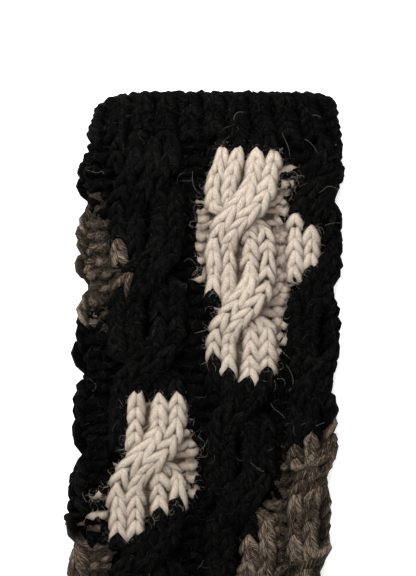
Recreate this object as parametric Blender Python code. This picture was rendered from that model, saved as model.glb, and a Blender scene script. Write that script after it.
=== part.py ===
"""Arm warmer knitted in the round from chunky wool, lying flat on a table.

One knitted tube, pressed flat so that its front lies on its back. It has a
knit-one purl-one band at the upper edge, a body with five rope cables, each
six stitches wide with two purl stitches between, and a second band at the
hand. Each of the three is one closed wall, plain inside, with its ribs or
cables raised in the outer points. Units are metres, +Y runs towards the upper
edge, +Z is up, and the part rests on Z = 0 with the origin under the middle of
its bounding box.
"""

import math
from collections import namedtuple

import bmesh
import bpy

# Lengths along the arm
LENGTH = 0.340
UPPER_BAND_DEPTH = 0.0225
HAND_BAND_DEPTH = 0.0210
SEAM_GAP = 0.0003

# Stitches round the tube
CABLE_COUNT = 5
STITCHES_PER_REPEAT = 8
STITCH_COUNT = CABLE_COUNT * STITCHES_PER_REPEAT
STITCH_WIDTH = 0.00634

# Wall, measured outwards from the plain inner face
BODY_WALL = 0.0078
PURL_WALL = 0.0044
STRAND_WALL = 0.0068
CROSSING_RISE = 0.0022
CROSSING_FALL = 0.0016
RIB_CREST_WALL = 0.0056
RIB_VALLEY_WALL = 0.0034
EDGE_WALL = 0.0026
EDGE_FULLNESS = 0.25
INNER_HALF_GAP = 0.0003

# Cables, in stitches either side of a cable's centre line
CABLE_HALF_WIDTH = 3.0
STRAND_HALF_WIDTH = 1.5
STRAND_SWING = 1.5
STRAND_ROUNDNESS = 2.4
CABLE_SHARE = 0.44
RELAXED_GIRTH = 0.2264

# Share of a repeat that the strands take to cross, on each side of the middle
CROSSING_HALF_SHARE = 0.36

# Rounded corners where the upper and the hand edge turn over the folds
CORNER_DROP = 0.0068
CORNER_REACH = 0.0065

# Sections of the flat garment: distance below the upper edge, left and right
# edges from the line midway between the two cables of the front, thickness of
# the wall at the folds, and height of the slit between the front and the back
Section = namedtuple("Section", "down left right wall slit")
SECTIONS = (
    Section(0.0000, -0.0440, 0.0634, 0.0054, 0.0046),
    Section(0.0090, -0.0455, 0.0643, 0.0056, 0.0046),
    Section(0.0225, -0.0493, 0.0668, 0.0062, 0.0052),
    Section(0.0330, -0.0518, 0.0681, 0.0076, 0.0066),
    Section(0.0610, -0.0541, 0.0675, 0.0078, 0.0068),
    Section(0.0950, -0.0541, 0.0664, 0.0078, 0.0068),
    Section(0.1390, -0.0556, 0.0648, 0.0078, 0.0068),
    Section(0.1600, -0.0556, 0.0644, 0.0078, 0.0068),
    Section(0.1880, -0.0584, 0.0622, 0.0078, 0.0068),
    Section(0.2200, -0.0586, 0.0602, 0.0078, 0.0068),
    Section(0.2560, -0.0578, 0.0566, 0.0078, 0.0068),
    Section(0.3060, -0.0548, 0.0528, 0.0076, 0.0066),
    Section(0.3190, -0.0538, 0.0518, 0.0062, 0.0052),
    Section(0.3400, -0.0528, 0.0510, 0.0054, 0.0046),
)

# Rope cables in their order round the tube: centre line of those on the front
# and at its folds, first crossing below the upper edge, and the distance from
# one crossing to the next. The fifth lies on the back, between its neighbours.
Cable = namedtuple("Cable", "name centre first_crossing repeat")
CABLES = (
    Cable("left_fold", -0.0652, 0.0444, 0.0412),
    Cable("front_left", -0.0217, 0.0385, 0.0426),
    Cable("front_right", 0.0217, 0.0566, 0.0432),
    Cable("right_fold", 0.0652, 0.0303, 0.0423),
    Cable("back", None, 0.0430, 0.0426),
)
CROSSING_MARGIN = 0.012

# Ribs of the bands
RIB_START = -0.0353

# Mesh
BODY_STEPS = 84
BODY_ROWS = 56
RIB_STEPS_PER_STITCH = 2
BAND_ROWS = 4
INNER_ROWS = 7
EDGE_ROUNDING = 0.0026

# Colours
BLACK_WOOL = (0.012, 0.011, 0.010, 1.0)
BLACK_RIB_WOOL = (0.014, 0.013, 0.012, 1.0)
WOOL_ROUGHNESS = 0.95


def smooth_between(rows, column, down):
    """Value of one column of a table at a distance down the garment."""
    last = len(rows) - 1
    index = 0
    while index < last - 1 and down > rows[index + 1].down:
        index += 1
    before = rows[max(index - 1, 0)]
    start = rows[index]
    end = rows[index + 1]
    after = rows[min(index + 2, last)]
    span = end.down - start.down
    t = (down - start.down) / span
    start_slope = (getattr(end, column) - getattr(before, column)) / (end.down - before.down)
    end_slope = (getattr(after, column) - getattr(start, column)) / (after.down - start.down)
    rise = getattr(start, column) * (2 * t**3 - 3 * t**2 + 1)
    rise += getattr(end, column) * (3 * t**2 - 2 * t**3)
    rise += span * start_slope * (t**3 - 2 * t**2 + t)
    rise += span * end_slope * (t**3 - t**2)
    return rise


class FlatTube:
    """Cross-section of the pressed tube at one distance down the garment."""

    def __init__(self, down):
        self.wall = smooth_between(SECTIONS, "wall", down)
        self.slit = smooth_between(SECTIONS, "slit", down)
        self.reach = INNER_HALF_GAP + self.wall
        self.left = smooth_between(SECTIONS, "left", down) + self.reach
        self.right = smooth_between(SECTIONS, "right", down) - self.reach
        self.flat = self.right - self.left
        self.arc = math.pi * (INNER_HALF_GAP + self.wall / 2)
        self.girth = 2 * (self.flat + self.arc)

    def place(self, along, wall):
        """Point (x, z) at a distance round the girth, a wall out from the inner face."""
        reach = INNER_HALF_GAP + wall
        along = (along - self.left) % self.girth
        if along < self.flat:
            return self.left + along, self.slit + reach
        along -= self.flat
        if along < self.arc:
            turn = math.pi * along / self.arc
            return self.right + reach * math.sin(turn), self.slit + reach * math.cos(turn)
        along -= self.arc
        if along < self.flat:
            return self.right - along, self.slit - reach
        along -= self.flat
        turn = math.pi * along / self.arc
        return self.left - reach * math.sin(turn), self.slit - reach * math.cos(turn)

    def even_places(self, count):
        """Distances round the girth that are evenly spaced on the outer face."""
        outer_arc = math.pi * self.reach
        half = self.flat + outer_arc
        places = []
        for step in range(count):
            turn, outer = divmod(2 * half * step / count, half)
            if outer > self.flat:
                outer = self.flat + (outer - self.flat) * self.arc / outer_arc
            places.append(self.left + turn * self.girth / 2 + outer)
        return places

    def distance_from_fold(self, along):
        """How far a place round the girth lies from the nearer fold's outermost line."""
        half = self.girth / 2
        past_fold = (along - self.left + self.arc / 2) % half
        return min(past_fold, half - past_fold)


def cable_centres(tube):
    """Place round the girth of each cable, and of the first one again after a full turn."""
    squeeze = min(1.0, tube.girth / RELAXED_GIRTH)
    centres = [cable.centre * squeeze for cable in CABLES if cable.centre is not None]
    first_again = centres[0] + tube.girth
    return [*centres, (centres[-1] + first_again) / 2, first_again]


def stitch_at(tube, along):
    """Cable at or before a place round the girth, and the stitches from its centre line to it."""
    centres = cable_centres(tube)
    along = centres[0] + (along - centres[0]) % tube.girth
    repeat = sum(along >= centre for centre in centres[1:-1])
    pitch = centres[repeat + 1] - centres[repeat]
    half_width = min(CABLE_HALF_WIDTH * STITCH_WIDTH, CABLE_SHARE * pitch)
    after = along - centres[repeat]
    before = pitch - after
    if after < half_width:
        return repeat, CABLE_HALF_WIDTH * after / half_width
    if before < half_width:
        return repeat, STITCHES_PER_REPEAT - CABLE_HALF_WIDTH * before / half_width
    purl_share = (after - half_width) / (pitch - 2 * half_width)
    purl_stitches = STITCHES_PER_REPEAT - 2 * CABLE_HALF_WIDTH
    return repeat, CABLE_HALF_WIDTH + purl_stitches * purl_share


def crossing_phase(cable, down):
    """From -0.5 to 0.5 through each crossing, and held at an end where the strands run straight."""
    last_down = LENGTH - HAND_BAND_DEPTH - CROSSING_MARGIN
    last_crossing = math.floor((last_down - cable.first_crossing) / cable.repeat)
    turns = (down - cable.first_crossing) / cable.repeat
    crossing = min(max(round(turns), 0), last_crossing)
    return min(max(turns - crossing, -0.5), 0.5)


def cable_wall(cable, offset, down):
    """Wall where a cable's two strands cross, at an offset in stitches from its centre line."""
    phase = crossing_phase(cable, down) / CROSSING_HALF_SHARE
    turn = math.pi / 2 * min(max(phase, -1.0), 1.0)
    swing = STRAND_SWING * math.sin(turn)
    lift = math.cos(turn)
    over = (-swing, STRAND_WALL + CROSSING_RISE * lift)
    under = (swing, STRAND_WALL - CROSSING_FALL * lift)
    wall = PURL_WALL
    for centre, crest in (over, under):
        across = abs(offset - centre) / STRAND_HALF_WIDTH
        if across < 1:
            wall = max(wall, PURL_WALL + (crest - PURL_WALL) * math.sqrt(1 - across**STRAND_ROUNDNESS))
    return wall


def rib_wall(stitch):
    """Wall of the knit-one purl-one band, with a crest on every knit stitch."""
    middle = (RIB_CREST_WALL + RIB_VALLEY_WALL) / 2
    swell = (RIB_CREST_WALL - RIB_VALLEY_WALL) / 2
    return middle + swell * math.cos(math.pi * stitch)


def corner_drop(tube, along, down):
    """How far a band's knitting drops at the folds, most at its free edge and nothing at its seam."""
    fold = math.exp(-tube.distance_from_fold(along) / CORNER_REACH)
    upper = max(0.0, 1 - down / UPPER_BAND_DEPTH) ** 2
    hand = max(0.0, 1 - (LENGTH - down) / HAND_BAND_DEPTH) ** 2
    return CORNER_DROP * fold * (upper - hand)


def body_wall(tube, along, down):
    """Wall of the cabled body, a little thinner where the body runs into a band."""
    repeat, stitch = stitch_at(tube, along)
    neighbour = CABLES[(repeat + 1) % CABLE_COUNT]
    here = cable_wall(CABLES[repeat], stitch, down)
    there = cable_wall(neighbour, stitch - STITCHES_PER_REPEAT, down)
    return max(here, there) * tube.wall / BODY_WALL


def body_ring(down, outside):
    """Points of one ring of the body, going round from the left fold over the front."""
    tube = FlatTube(down)
    points = []
    for along in tube.even_places(BODY_STEPS):
        wall = body_wall(tube, along, down) if outside else 0.0
        x, z = tube.place(along, wall)
        points.append((x, -down, max(z, 0.0)))
    return points


def band_ring(down, outside, fullness=1.0):
    """Points of one ring of a ribbed band, going round from the left fold over the front."""
    tube = FlatTube(down)
    stitch_pitch = tube.girth / STITCH_COUNT
    points = []
    for step in range(STITCH_COUNT * RIB_STEPS_PER_STITCH):
        stitch = step / RIB_STEPS_PER_STITCH
        along = RIB_START + stitch * stitch_pitch
        wall = 0.0
        if outside:
            wall = EDGE_WALL + (rib_wall(stitch) - EDGE_WALL) * fullness
        x, z = tube.place(along, wall)
        points.append((x, -down - corner_drop(tube, along, down), max(z, 0.0)))
    return points


def loft(rings):
    """Closed wall through rings that run down the outside and back up the inside.

    Each cell is split from its upper right to its lower left corner, the way
    the front strand of every cable runs.
    """
    mesh = bmesh.new()
    loops = [[mesh.verts.new(point) for point in ring] for ring in rings]
    for ring, following in zip(loops, loops[1:] + loops[:1]):
        for index, point in enumerate(ring):
            after = (index + 1) % len(ring)
            mesh.faces.new((point, ring[after], following[index]))
            mesh.faces.new((ring[after], following[after], following[index]))
    bmesh.ops.recalc_face_normals(mesh, faces=mesh.faces)
    return mesh


def spaced(start, end, count):
    """Evenly spaced distances, both ends included."""
    return [start + (end - start) * step / count for step in range(count + 1)]


def band_rings(start, end, free_end):
    """Rings of a band whose free end, at the start or the end, is rounded to a thin edge."""
    outer = []
    for down in spaced(start, end, BAND_ROWS):
        outer.append(band_ring(down, outside=True))
    if free_end == "start":
        outer[0] = band_ring(start + EDGE_ROUNDING, outside=True)
        outer.insert(0, band_ring(start, outside=True, fullness=EDGE_FULLNESS))
    else:
        outer[-1] = band_ring(end - EDGE_ROUNDING, outside=True)
        outer.append(band_ring(end, outside=True, fullness=EDGE_FULLNESS))
    inner = [band_ring(end, outside=False), band_ring(start, outside=False)]
    return outer + inner


def body_rings(start, end):
    """Rings of the cabled body."""
    outer = [body_ring(down, outside=True) for down in spaced(start, end, BODY_ROWS)]
    inner = [body_ring(down, outside=False) for down in spaced(end, start, INNER_ROWS)]
    return outer + inner


def wool(name, colour):
    """Material of one yarn."""
    material = bpy.data.materials.new(name)
    material.use_nodes = True
    shader = material.node_tree.nodes["Principled BSDF"]
    shader.inputs["Base Color"].default_value = colour
    shader.inputs["Roughness"].default_value = WOOL_ROUGHNESS
    shader.inputs["Metallic"].default_value = 0.0
    material.diffuse_color = colour
    return material


def add_piece(name, rings, material, collection):
    """Object made from a lofted wall."""
    mesh = bpy.data.meshes.new(name)
    lofted = loft(rings)
    lofted.to_mesh(mesh)
    lofted.free()
    mesh.shade_smooth()
    mesh.materials.append(material)
    piece = bpy.data.objects.new(name, mesh)
    collection.objects.link(piece)
    return piece


def centre_on_origin(pieces):
    """Moves the points so that the origin lies under the middle of the bounding box."""
    points = [vertex.co for piece in pieces for vertex in piece.data.vertices]
    middle_x = (min(p.x for p in points) + max(p.x for p in points)) / 2
    middle_y = (min(p.y for p in points) + max(p.y for p in points)) / 2
    for point in points:
        point.x -= middle_x
        point.y -= middle_y


def main():
    for old in list(bpy.data.objects):
        bpy.data.objects.remove(old)
    collection = bpy.data.collections.new("arm_warmer")
    bpy.context.scene.collection.children.link(collection)
    rib_wool = wool("black_rib_wool", BLACK_RIB_WOOL)
    cable_wool = wool("black_cable_wool", BLACK_WOOL)
    hand_seam = LENGTH - HAND_BAND_DEPTH
    upper = band_rings(0.0, UPPER_BAND_DEPTH - SEAM_GAP / 2, free_end="start")
    body = body_rings(UPPER_BAND_DEPTH + SEAM_GAP / 2, hand_seam - SEAM_GAP / 2)
    hand = band_rings(hand_seam + SEAM_GAP / 2, LENGTH, free_end="end")
    pieces = [
        add_piece("upper_band", upper, rib_wool, collection),
        add_piece("cable_body", body, cable_wool, collection),
        add_piece("hand_band", hand, rib_wool, collection),
    ]
    centre_on_origin(pieces)


main()
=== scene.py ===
import math
from collections import namedtuple

import bmesh
import bpy
import numpy as np
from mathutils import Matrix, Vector


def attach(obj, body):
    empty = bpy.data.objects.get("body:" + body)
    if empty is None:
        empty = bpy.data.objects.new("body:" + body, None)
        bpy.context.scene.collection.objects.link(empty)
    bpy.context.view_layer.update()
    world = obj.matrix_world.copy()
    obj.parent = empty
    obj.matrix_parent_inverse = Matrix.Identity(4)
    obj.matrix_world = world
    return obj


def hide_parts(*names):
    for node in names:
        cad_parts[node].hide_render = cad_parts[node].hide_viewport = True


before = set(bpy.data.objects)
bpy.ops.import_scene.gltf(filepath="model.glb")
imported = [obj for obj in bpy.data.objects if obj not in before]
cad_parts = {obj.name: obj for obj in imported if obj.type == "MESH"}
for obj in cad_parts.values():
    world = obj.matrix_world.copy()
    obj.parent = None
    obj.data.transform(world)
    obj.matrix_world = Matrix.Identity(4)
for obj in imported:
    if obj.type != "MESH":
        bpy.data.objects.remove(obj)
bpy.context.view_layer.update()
print("frame loaded:", sorted(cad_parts))

mm = 0.001


def placeObject(name, data):
    piece = bpy.data.objects.new(name, data)
    bpy.context.scene.collection.objects.link(piece)
    return piece


# the flat tube, lengths in metres; along runs round the girth from the middle of the front,
# down runs from the upper edge
garment = {
    "length": 0.340,
    "upperBand": 0.0225,
    "handBand": 0.0210,
    "halfGap": 0.0003,
    "bodyWall": 0.0078,
    "relaxedGirth": 0.2264,
    "middleX": 0.004742,
    "cornerDrop": 0.0068,
    "cornerReach": 0.0065,
    "rightCornerLift": 0.55,
}

sectionRow = namedtuple("sectionRow", "down left right wall slit")
sections = (
    sectionRow(0.0000, -0.0440, 0.0634, 0.0054, 0.0046),
    sectionRow(0.0090, -0.0455, 0.0643, 0.0056, 0.0046),
    sectionRow(0.0225, -0.0501, 0.0668, 0.0062, 0.0052),
    sectionRow(0.0330, -0.0536, 0.0681, 0.0076, 0.0066),
    sectionRow(0.0610, -0.0541, 0.0675, 0.0078, 0.0068),
    sectionRow(0.0950, -0.0541, 0.0664, 0.0078, 0.0068),
    sectionRow(0.1390, -0.0556, 0.0648, 0.0078, 0.0068),
    sectionRow(0.1600, -0.0556, 0.0644, 0.0078, 0.0068),
    sectionRow(0.1880, -0.0584, 0.0622, 0.0078, 0.0068),
    sectionRow(0.2200, -0.0586, 0.0602, 0.0078, 0.0068),
    sectionRow(0.2560, -0.0578, 0.0566, 0.0078, 0.0068),
    sectionRow(0.3060, -0.0548, 0.0528, 0.0076, 0.0066),
    sectionRow(0.3190, -0.0538, 0.0518, 0.0062, 0.0052),
    sectionRow(0.3400, -0.0528, 0.0510, 0.0054, 0.0046),
)

# the back cable's middle lies halfway between its neighbours
cableRow = namedtuple("cableRow", "name centre leftReach rightReach firstCrossing repeat")
cables = (
    cableRow("leftFold", -0.0672, 0.0160, 0.0190, 0.0490, 0.0382),
    cableRow("frontLeft", -0.0214, 0.0180, 0.0176, 0.0385, 0.0426),
    cableRow("frontRight", 0.0196, 0.0148, 0.0172, 0.0566, 0.0432),
    cableRow("rightFold", 0.0570, 0.0155, 0.0170, 0.0454, 0.0427),
    cableRow("back", None, 0.0160, 0.0160, 0.0430, 0.0426),
)

# reaches and spacings of the cables are in stitches, their times in shares of a repeat,
# places and margins in metres
knitting = {
    "stitchesRound": 30,
    "repeatStitches": 6,
    "ribStitches": 40,
    "bodyRows": 51,
    "upperBandRows": 5,
    "handBandRows": 4,
    "ribMiddle": 0.0035,
    "middleRib": 21,
    "bodyMiddle": 0.0005,
    "middleStitch": 10.5,
    "evenEnd": 0.026,
    "halfCable": 2.0,
    "leastGutter": 0.0016,
    "swing": 1.06,
    "strandHalf": 1.04,
    "strandGather": 0.94,
    "frontSpread": 0.32,
    "backGather": 0.30,
    "backLean": 0.35,
    "narrowestCable": 1.85,
    "strandRoundness": 3.0,
    "frontHalfShare": 0.35,
    "backAboveShare": 0.07,
    "backBelowShare": 0.22,
    "crossingMargin": 0.012,
    "rowLean": 0.85,
    "ribKnitWidth": 1.60,
    "ribPurlWidth": 0.34,
    "edgeMargin": 0.0040,
}

# heights of the yarn's middle above the inner face, and how far the folds and notches reach
loft = {
    "strand": 0.0050,
    "crossingRise": 0.0028,
    "crossingFall": 0.0022,
    "crossingBase": 0.0022,
    "purl": 0.0018,
    "ribKnit": 0.0031,
    "ribPurl": 0.0009,
    "edge": 0.0027,
    # painted shade on low yarn: full at the next height, none at the one after, ribs' knit stitches
    # spared
    "sunkShade": 0.0018,
    "clear": 0.0046,
    "ribClear": 0.9,
    "foldLevel": 0.0040,
    "foldCalm": 0.55,
    "foldReach": 0.009,
    "notchReach": 0.009,
    "notchShare": 0.26,
}


def smoothStep(share):
    return 3 * share**2 - 2 * share**3


# a section's measure at any place down the tube, on a smooth curve through the rows above
def smoothBetween(column, down):
    ends = np.array([row.down for row in sections])
    values = np.array([getattr(row, column) for row in sections])
    last = len(sections) - 1
    start = np.clip(np.searchsorted(ends[1:], down, side="left"), 0, last - 1)
    end = start + 1
    before = np.maximum(start - 1, 0)
    after = np.minimum(start + 2, last)
    span = ends[end] - ends[start]
    t = (down - ends[start]) / span
    startSlope = (values[end] - values[before]) / (ends[end] - ends[before])
    endSlope = (values[after] - values[start]) / (ends[after] - ends[start])
    blend = smoothStep(t)
    rise = values[start] * (1 - blend) + values[end] * blend
    rise += span * startSlope * (t**3 - 2 * t**2 + t)
    rise += span * endSlope * (t**3 - t**2)
    return rise


# the tube's outline at places down it, and where a place round its girth lies
class FlatTube:
    def __init__(self, down):
        inside = np.clip(down, 0.0, garment["length"])
        self.wall = smoothBetween("wall", inside)
        self.slit = smoothBetween("slit", inside)
        reach = garment["halfGap"] + self.wall
        self.left = smoothBetween("left", inside) + reach
        self.right = smoothBetween("right", inside) - reach
        self.flat = self.right - self.left
        self.arc = math.pi * (garment["halfGap"] + self.wall / 2)
        self.half = self.flat + self.arc
        self.girth = 2 * self.half

    def place(self, along, height):
        reach = garment["halfGap"] + height
        run = (along - self.left) % self.girth
        onBack = run >= self.half
        run = np.where(onBack, run - self.half, run)
        side = np.where(onBack, -1.0, 1.0)
        straight = np.minimum(run, self.flat)
        turn = math.pi * np.maximum(run - self.flat, 0.0) / self.arc
        x = np.where(onBack, self.right - straight, self.left + straight)
        return x + side * reach * np.sin(turn), self.slit + side * reach * np.cos(turn)

    def distanceFromFold(self, along):
        past = (along - self.left + self.arc / 2) % self.half
        return np.minimum(past, self.half - past)


def cableCentres(tube):
    squeeze = np.minimum(1.0, tube.girth / garment["relaxedGirth"])
    centres = [cable.centre * squeeze for cable in cables if cable.centre is not None]
    firstAgain = centres[0] + tube.girth
    return np.stack([*centres, (centres[-1] + firstAgain) / 2, firstAgain])


# place round the girth of a stitch number, counted from the middle of the first cable
def alongOfStitch(stitch, down):
    tube = FlatTube(down)
    centres = cableCentres(tube)
    turns = np.floor(stitch / knitting["stitchesRound"])
    inTurn = stitch - turns * knitting["stitchesRound"]
    repeat = np.minimum(inTurn // knitting["repeatStitches"], len(cables) - 1).astype(int)
    offset = inTurn - repeat * knitting["repeatStitches"]
    start = np.take_along_axis(centres, repeat[None], 0)[0]
    pitch = np.take_along_axis(centres, repeat[None] + 1, 0)[0] - start
    narrower = np.minimum(1.0, tube.girth / garment["relaxedGirth"])
    before = np.array([cable.rightReach for cable in cables])[repeat] * narrower
    after = np.array([cable.leftReach for cable in cables])[(repeat + 1) % len(cables)] * narrower
    squeeze = np.minimum(1.0, (pitch - knitting["leastGutter"]) / (before + after))
    before, after = before * squeeze, after * squeeze
    half = knitting["halfCable"]
    fromEnd = knitting["repeatStitches"] - offset
    purlShare = (offset - half) / (knitting["repeatStitches"] - 2 * half)
    place = before + purlShare * (pitch - before - after)
    place = np.where(offset < half, before * offset / half, place)
    place = np.where(fromEnd < half, pitch - after * fromEnd / half, place)
    return start + place + turns * tube.girth


# offsets in stitches of a cable's front and back strand, and how far each is within the crossing,
# 0 to 1. A row keeps to the crossing that is nearest to its own middle
def crossingAt(cableIndex, down, rowDown):
    first = np.array([cable.firstCrossing for cable in cables])[cableIndex]
    repeat = np.array([cable.repeat for cable in cables])[cableIndex]
    lastDown = garment["length"] - garment["handBand"] - knitting["crossingMargin"]
    lastCrossing = np.floor((lastDown - first) / repeat)
    crossing = np.clip(np.round((rowDown - first) / repeat), 0, lastCrossing)
    phase = (down - first) / repeat - crossing
    frontTurn = math.pi / 2 * np.clip(phase / knitting["frontHalfShare"], -1.0, 1.0)
    backShare = np.where(phase < 0, knitting["backAboveShare"], knitting["backBelowShare"])
    backTurn = math.pi / 2 * np.clip(phase / backShare, -1.0, 1.0)
    swing = knitting["swing"]
    return -swing * np.sin(frontTurn), swing * np.sin(backTurn), np.cos(frontTurn), np.cos(backTurn)


# how far apart the columns of a strand stand, in stitches: wider where it runs slantwise on top
def columnSpacing(side, over, under):
    change = np.where(side < 0, knitting["frontSpread"] * over**2, -knitting["backGather"] * under**2)
    return knitting["strandGather"] * (1 + change)


# outermost places of a cable in a row, in stitches from its middle
def cableEdges(cableIndex, down, rowDown):
    front, back, over, under = crossingAt(cableIndex, down, rowDown)
    frontReach = columnSpacing(-1, over, under)
    backReach = columnSpacing(1, over, under)
    least = knitting["narrowestCable"]
    left = np.minimum(front - frontReach, back - backReach)
    right = np.maximum(front + frontReach, back + backReach)
    return np.minimum(left, -least), np.maximum(right, least)


# height of the yarn across one strand, from its middle line outwards; the strand on top rests on
# the other
def strandHeight(side, offset, over, under):
    across = np.minimum(np.abs(offset) / knitting["strandHalf"], 1.0)
    rise = np.sqrt(1 - across ** knitting["strandRoundness"])
    lifted = np.where(side < 0, loft["crossingRise"] * over, -loft["crossingFall"] * under)
    base = loft["purl"] + np.where((side < 0) & (across < 1), loft["crossingBase"] * over, 0.0)
    return base + (loft["strand"] + lifted - base) * rise


def cornerDrop(tube, along, down):
    fold = np.exp(-tube.distanceFromFold(along) / garment["cornerReach"])
    rightFold = tube.right + tube.arc / 2
    toRight = np.maximum(0.0, np.cos(2 * math.pi * (along - rightFold) / tube.girth))
    fold = fold * (1 - garment["rightCornerLift"] * toRight)
    upper = np.maximum(0.0, 1 - down / garment["upperBand"]) ** 2
    hand = np.maximum(0.0, 1 - (garment["length"] - down) / garment["handBand"]) ** 2
    return garment["cornerDrop"] * fold * (upper - hand)


# from the cloth's own coordinates to the frame
def toFrame(along, down, height):
    tube = FlatTube(down)
    x, z = tube.place(along, height)
    y = garment["length"] / 2 - down - cornerDrop(tube, along, down)
    return np.stack([x - garment["middleX"], y, z], axis=-1)


# the way out of the cloth at a place
def outwardAt(along, down, height):
    way = toFrame(along, down, height + mm) - toFrame(along, down, height)
    return way / np.linalg.norm(way, axis=-1, keepdims=True)


# how softly the ribs give way to the cables
seam = {"softness": 0.012}


# 1 in the ribbed bands, 0 in the cabled body, with a soft change at each seam
def bandShare(down):
    soft = seam["softness"]
    upper = np.clip(0.5 - (down - garment["upperBand"]) / soft, 0, 1)
    handSeam = garment["length"] - garment["handBand"]
    hand = np.clip(0.5 + (down - handSeam) / soft, 0, 1)
    return smoothStep(np.maximum(upper, hand))


# place round the girth of a column of stitches: even in the bands, gathered by the cables in the body
def columnPlace(order, stitch, down, ribbed):
    girth = FlatTube(down).girth
    if ribbed:
        return knitting["ribMiddle"] + (order - knitting["middleRib"]) * girth / knitting["ribStitches"]
    even = (order - knitting["middleStitch"]) * girth / knitting["stitchesRound"]
    even = knitting["bodyMiddle"] + even
    toBand = np.minimum(down - garment["upperBand"], garment["length"] - garment["handBand"] - down)
    share = smoothStep(1 - np.clip(toBand / knitting["evenEnd"], 0, 1))
    return share * even + (1 - share) * alongOfStitch(stitch, down)


print("tube laid out")

# patches of other wool, as outlines drawn on the cloth: across from the middle of the
# front and down from the upper edge, in mm
patches = {
    "cream": (
        ((9, 27), (36, 27), (37, 32), (38, 38), (46, 40.5), (47, 45), (41, 49.5), (40, 56), (49, 56),
         (49, 61.5), (57, 61.5), (57, 74), (53, 79), (48, 83.5), (45.5, 88), (44.8, 95), (42.5, 107),
         (38, 116), (36, 123), (36, 131), (28, 129), (24, 131), (18, 128), (12, 128), (7, 122),
         (6, 112), (8, 103), (10, 95), (11, 91), (6, 89), (6, 83), (1, 82.5), (0.5, 78), (0.5, 61),
         (2, 58), (2, 50), (5, 44), (9, 38)),
        ((-33, 140), (-26, 139), (-9, 139), (-7, 144), (-2, 149), (1, 157), (1, 164), (-1, 170),
         (0.5, 177), (-3, 182), (-10, 189), (-21, 192), (-26, 200), (-34, 202), (-38, 197.5),
         (-38, 191), (-48, 191), (-48, 185), (-38, 183), (-38, 176), (-31, 170.5), (-30.5, 167),
         (-24, 166.8), (-24, 165.4), (-29, 164.5), (-30, 157)),
    ),
    "taupe": (
        ((-72, 47), (-52, 47), (-44, 53), (-41, 54.5), (-52, 55), (-52, 59.5), (-41, 60), (-39, 68),
         (-33, 73), (-29, 79), (-28, 83), (-31, 85), (-33, 90), (-37, 97), (-40, 102), (-47, 104),
         (-72, 104)),
        ((80, 151), (62, 152.5), (54, 156), (46, 160), (38, 164), (38.5, 172), (39, 177), (33, 184),
         (30, 192), (30, 198), (25, 200), (22.5, 207), (20, 214), (17, 222), (20, 232), (34, 240),
         (52, 238), (80, 226)),
        ((-76, 190), (-60, 190.5), (-56, 197), (-50, 200), (-36, 205), (-34, 209), (-38, 213),
         (-37, 222), (-44, 232), (-60, 236), (-76, 230)),
    ),
}


def insideOutline(outline, across, down):
    inside = np.zeros(np.shape(across), bool)
    for (x0, y0), (x1, y1) in zip(outline, outline[1:] + outline[:1]):
        if y0 == y1:
            continue
        spans = (y0 > down) != (y1 > down)
        inside ^= spans & (across < x0 + (down - y0) * (x1 - x0) / (y1 - y0))
    return inside


# 0 black, 1 cream, 2 taupe
woolNames = ("black", "cream", "taupe")


def woolAt(along, down):
    girth = FlatTube(down).girth
    wool = np.zeros(np.shape(along), int)
    for name, outlines in patches.items():
        for outline in outlines:
            for turn in (-1, 0, 1):
                across = (along + turn * girth) / mm
                wool[insideOutline(outline, across, down / mm)] = woolNames.index(name)
    return wool


# the folds draw the cloth smooth, so that strands and gutters differ less there
def calmAtFold(height, along, down):
    near = np.exp(-(FlatTube(down).distanceFromFold(along) / loft["foldReach"]) ** 2)
    return height + (loft["foldLevel"] - height) * loft["foldCalm"] * near


# the folds draw in just past each crossing of their cables: on the right, then half a girth on
foldNotch = namedtuple("foldNotch", "cable halfTurns depth past")
foldNotches = (
    foldNotch(3, 0, 0.0050, 0.0014),
    foldNotch(0, 1, 0.0028, 0.0045),
)


def notchAt(along, down):
    tube = FlatTube(down)
    depth = np.zeros(np.shape(along))
    for notch in foldNotches:
        fold = tube.right + tube.arc / 2 + notch.halfTurns * tube.half
        beside = (along - fold + tube.half) % tube.girth - tube.half
        cable = cables[notch.cable]
        phase = (down - notch.past - cable.firstCrossing) / cable.repeat
        phase = np.clip((phase - np.round(phase)) / loft["notchShare"], -1, 1)
        near = np.exp(-(beside / loft["notchReach"]) ** 2)
        depth = depth + notch.depth * near * np.cos(math.pi / 2 * phase) ** 2
    return depth


# one stitch: reach is its half height in row pitches, stretch draws its legs out, edgeTuck draws in
# the outer legs of a strand, and jointDip sinks the places where stitches meet
loop = {
    "pointsPerStitch": 14,
    "fullness": 1.95,
    "reach": 1.0,
    "stretch": 0.25,
    "edgeTuck": 0.24,
    "tuckSharpness": 6,
    "depth": 0.0016,
    "purlDepth": 0.0011,
    "jointDip": 2.2,
    "jointSharpness": 3,
    "tilt": 0.0007,
    "lowest": 0.0009,
    "thin": 0.50,
    "thick": 1.15,
    "purlYarn": 1.06,
    "purlFuller": 0.40,
    "frontFuller": 0.14,
    "backThinner": 0.22,
    "unevenLoop": 0.15,
    "unevenPlace": 0.00046,
    "unevenYarn": 0.12,
}


# height of the yarn's middle above the inner face, at an offset in stitches from its strand's middle
def yarnHeight(side, kind, offset, over, under, along, down):
    body = np.where(side != 0, strandHeight(side, offset, over, under), loft["purl"])
    body = np.maximum(calmAtFold(body, along, down) - notchAt(along, down), loop["lowest"])
    body = body * FlatTube(down).wall / garment["bodyWall"]
    rib = np.where(kind > 0, loft["ribKnit"], loft["ribPurl"])
    share = bandShare(down)
    return share * rib + (1 - share) * body


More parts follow.
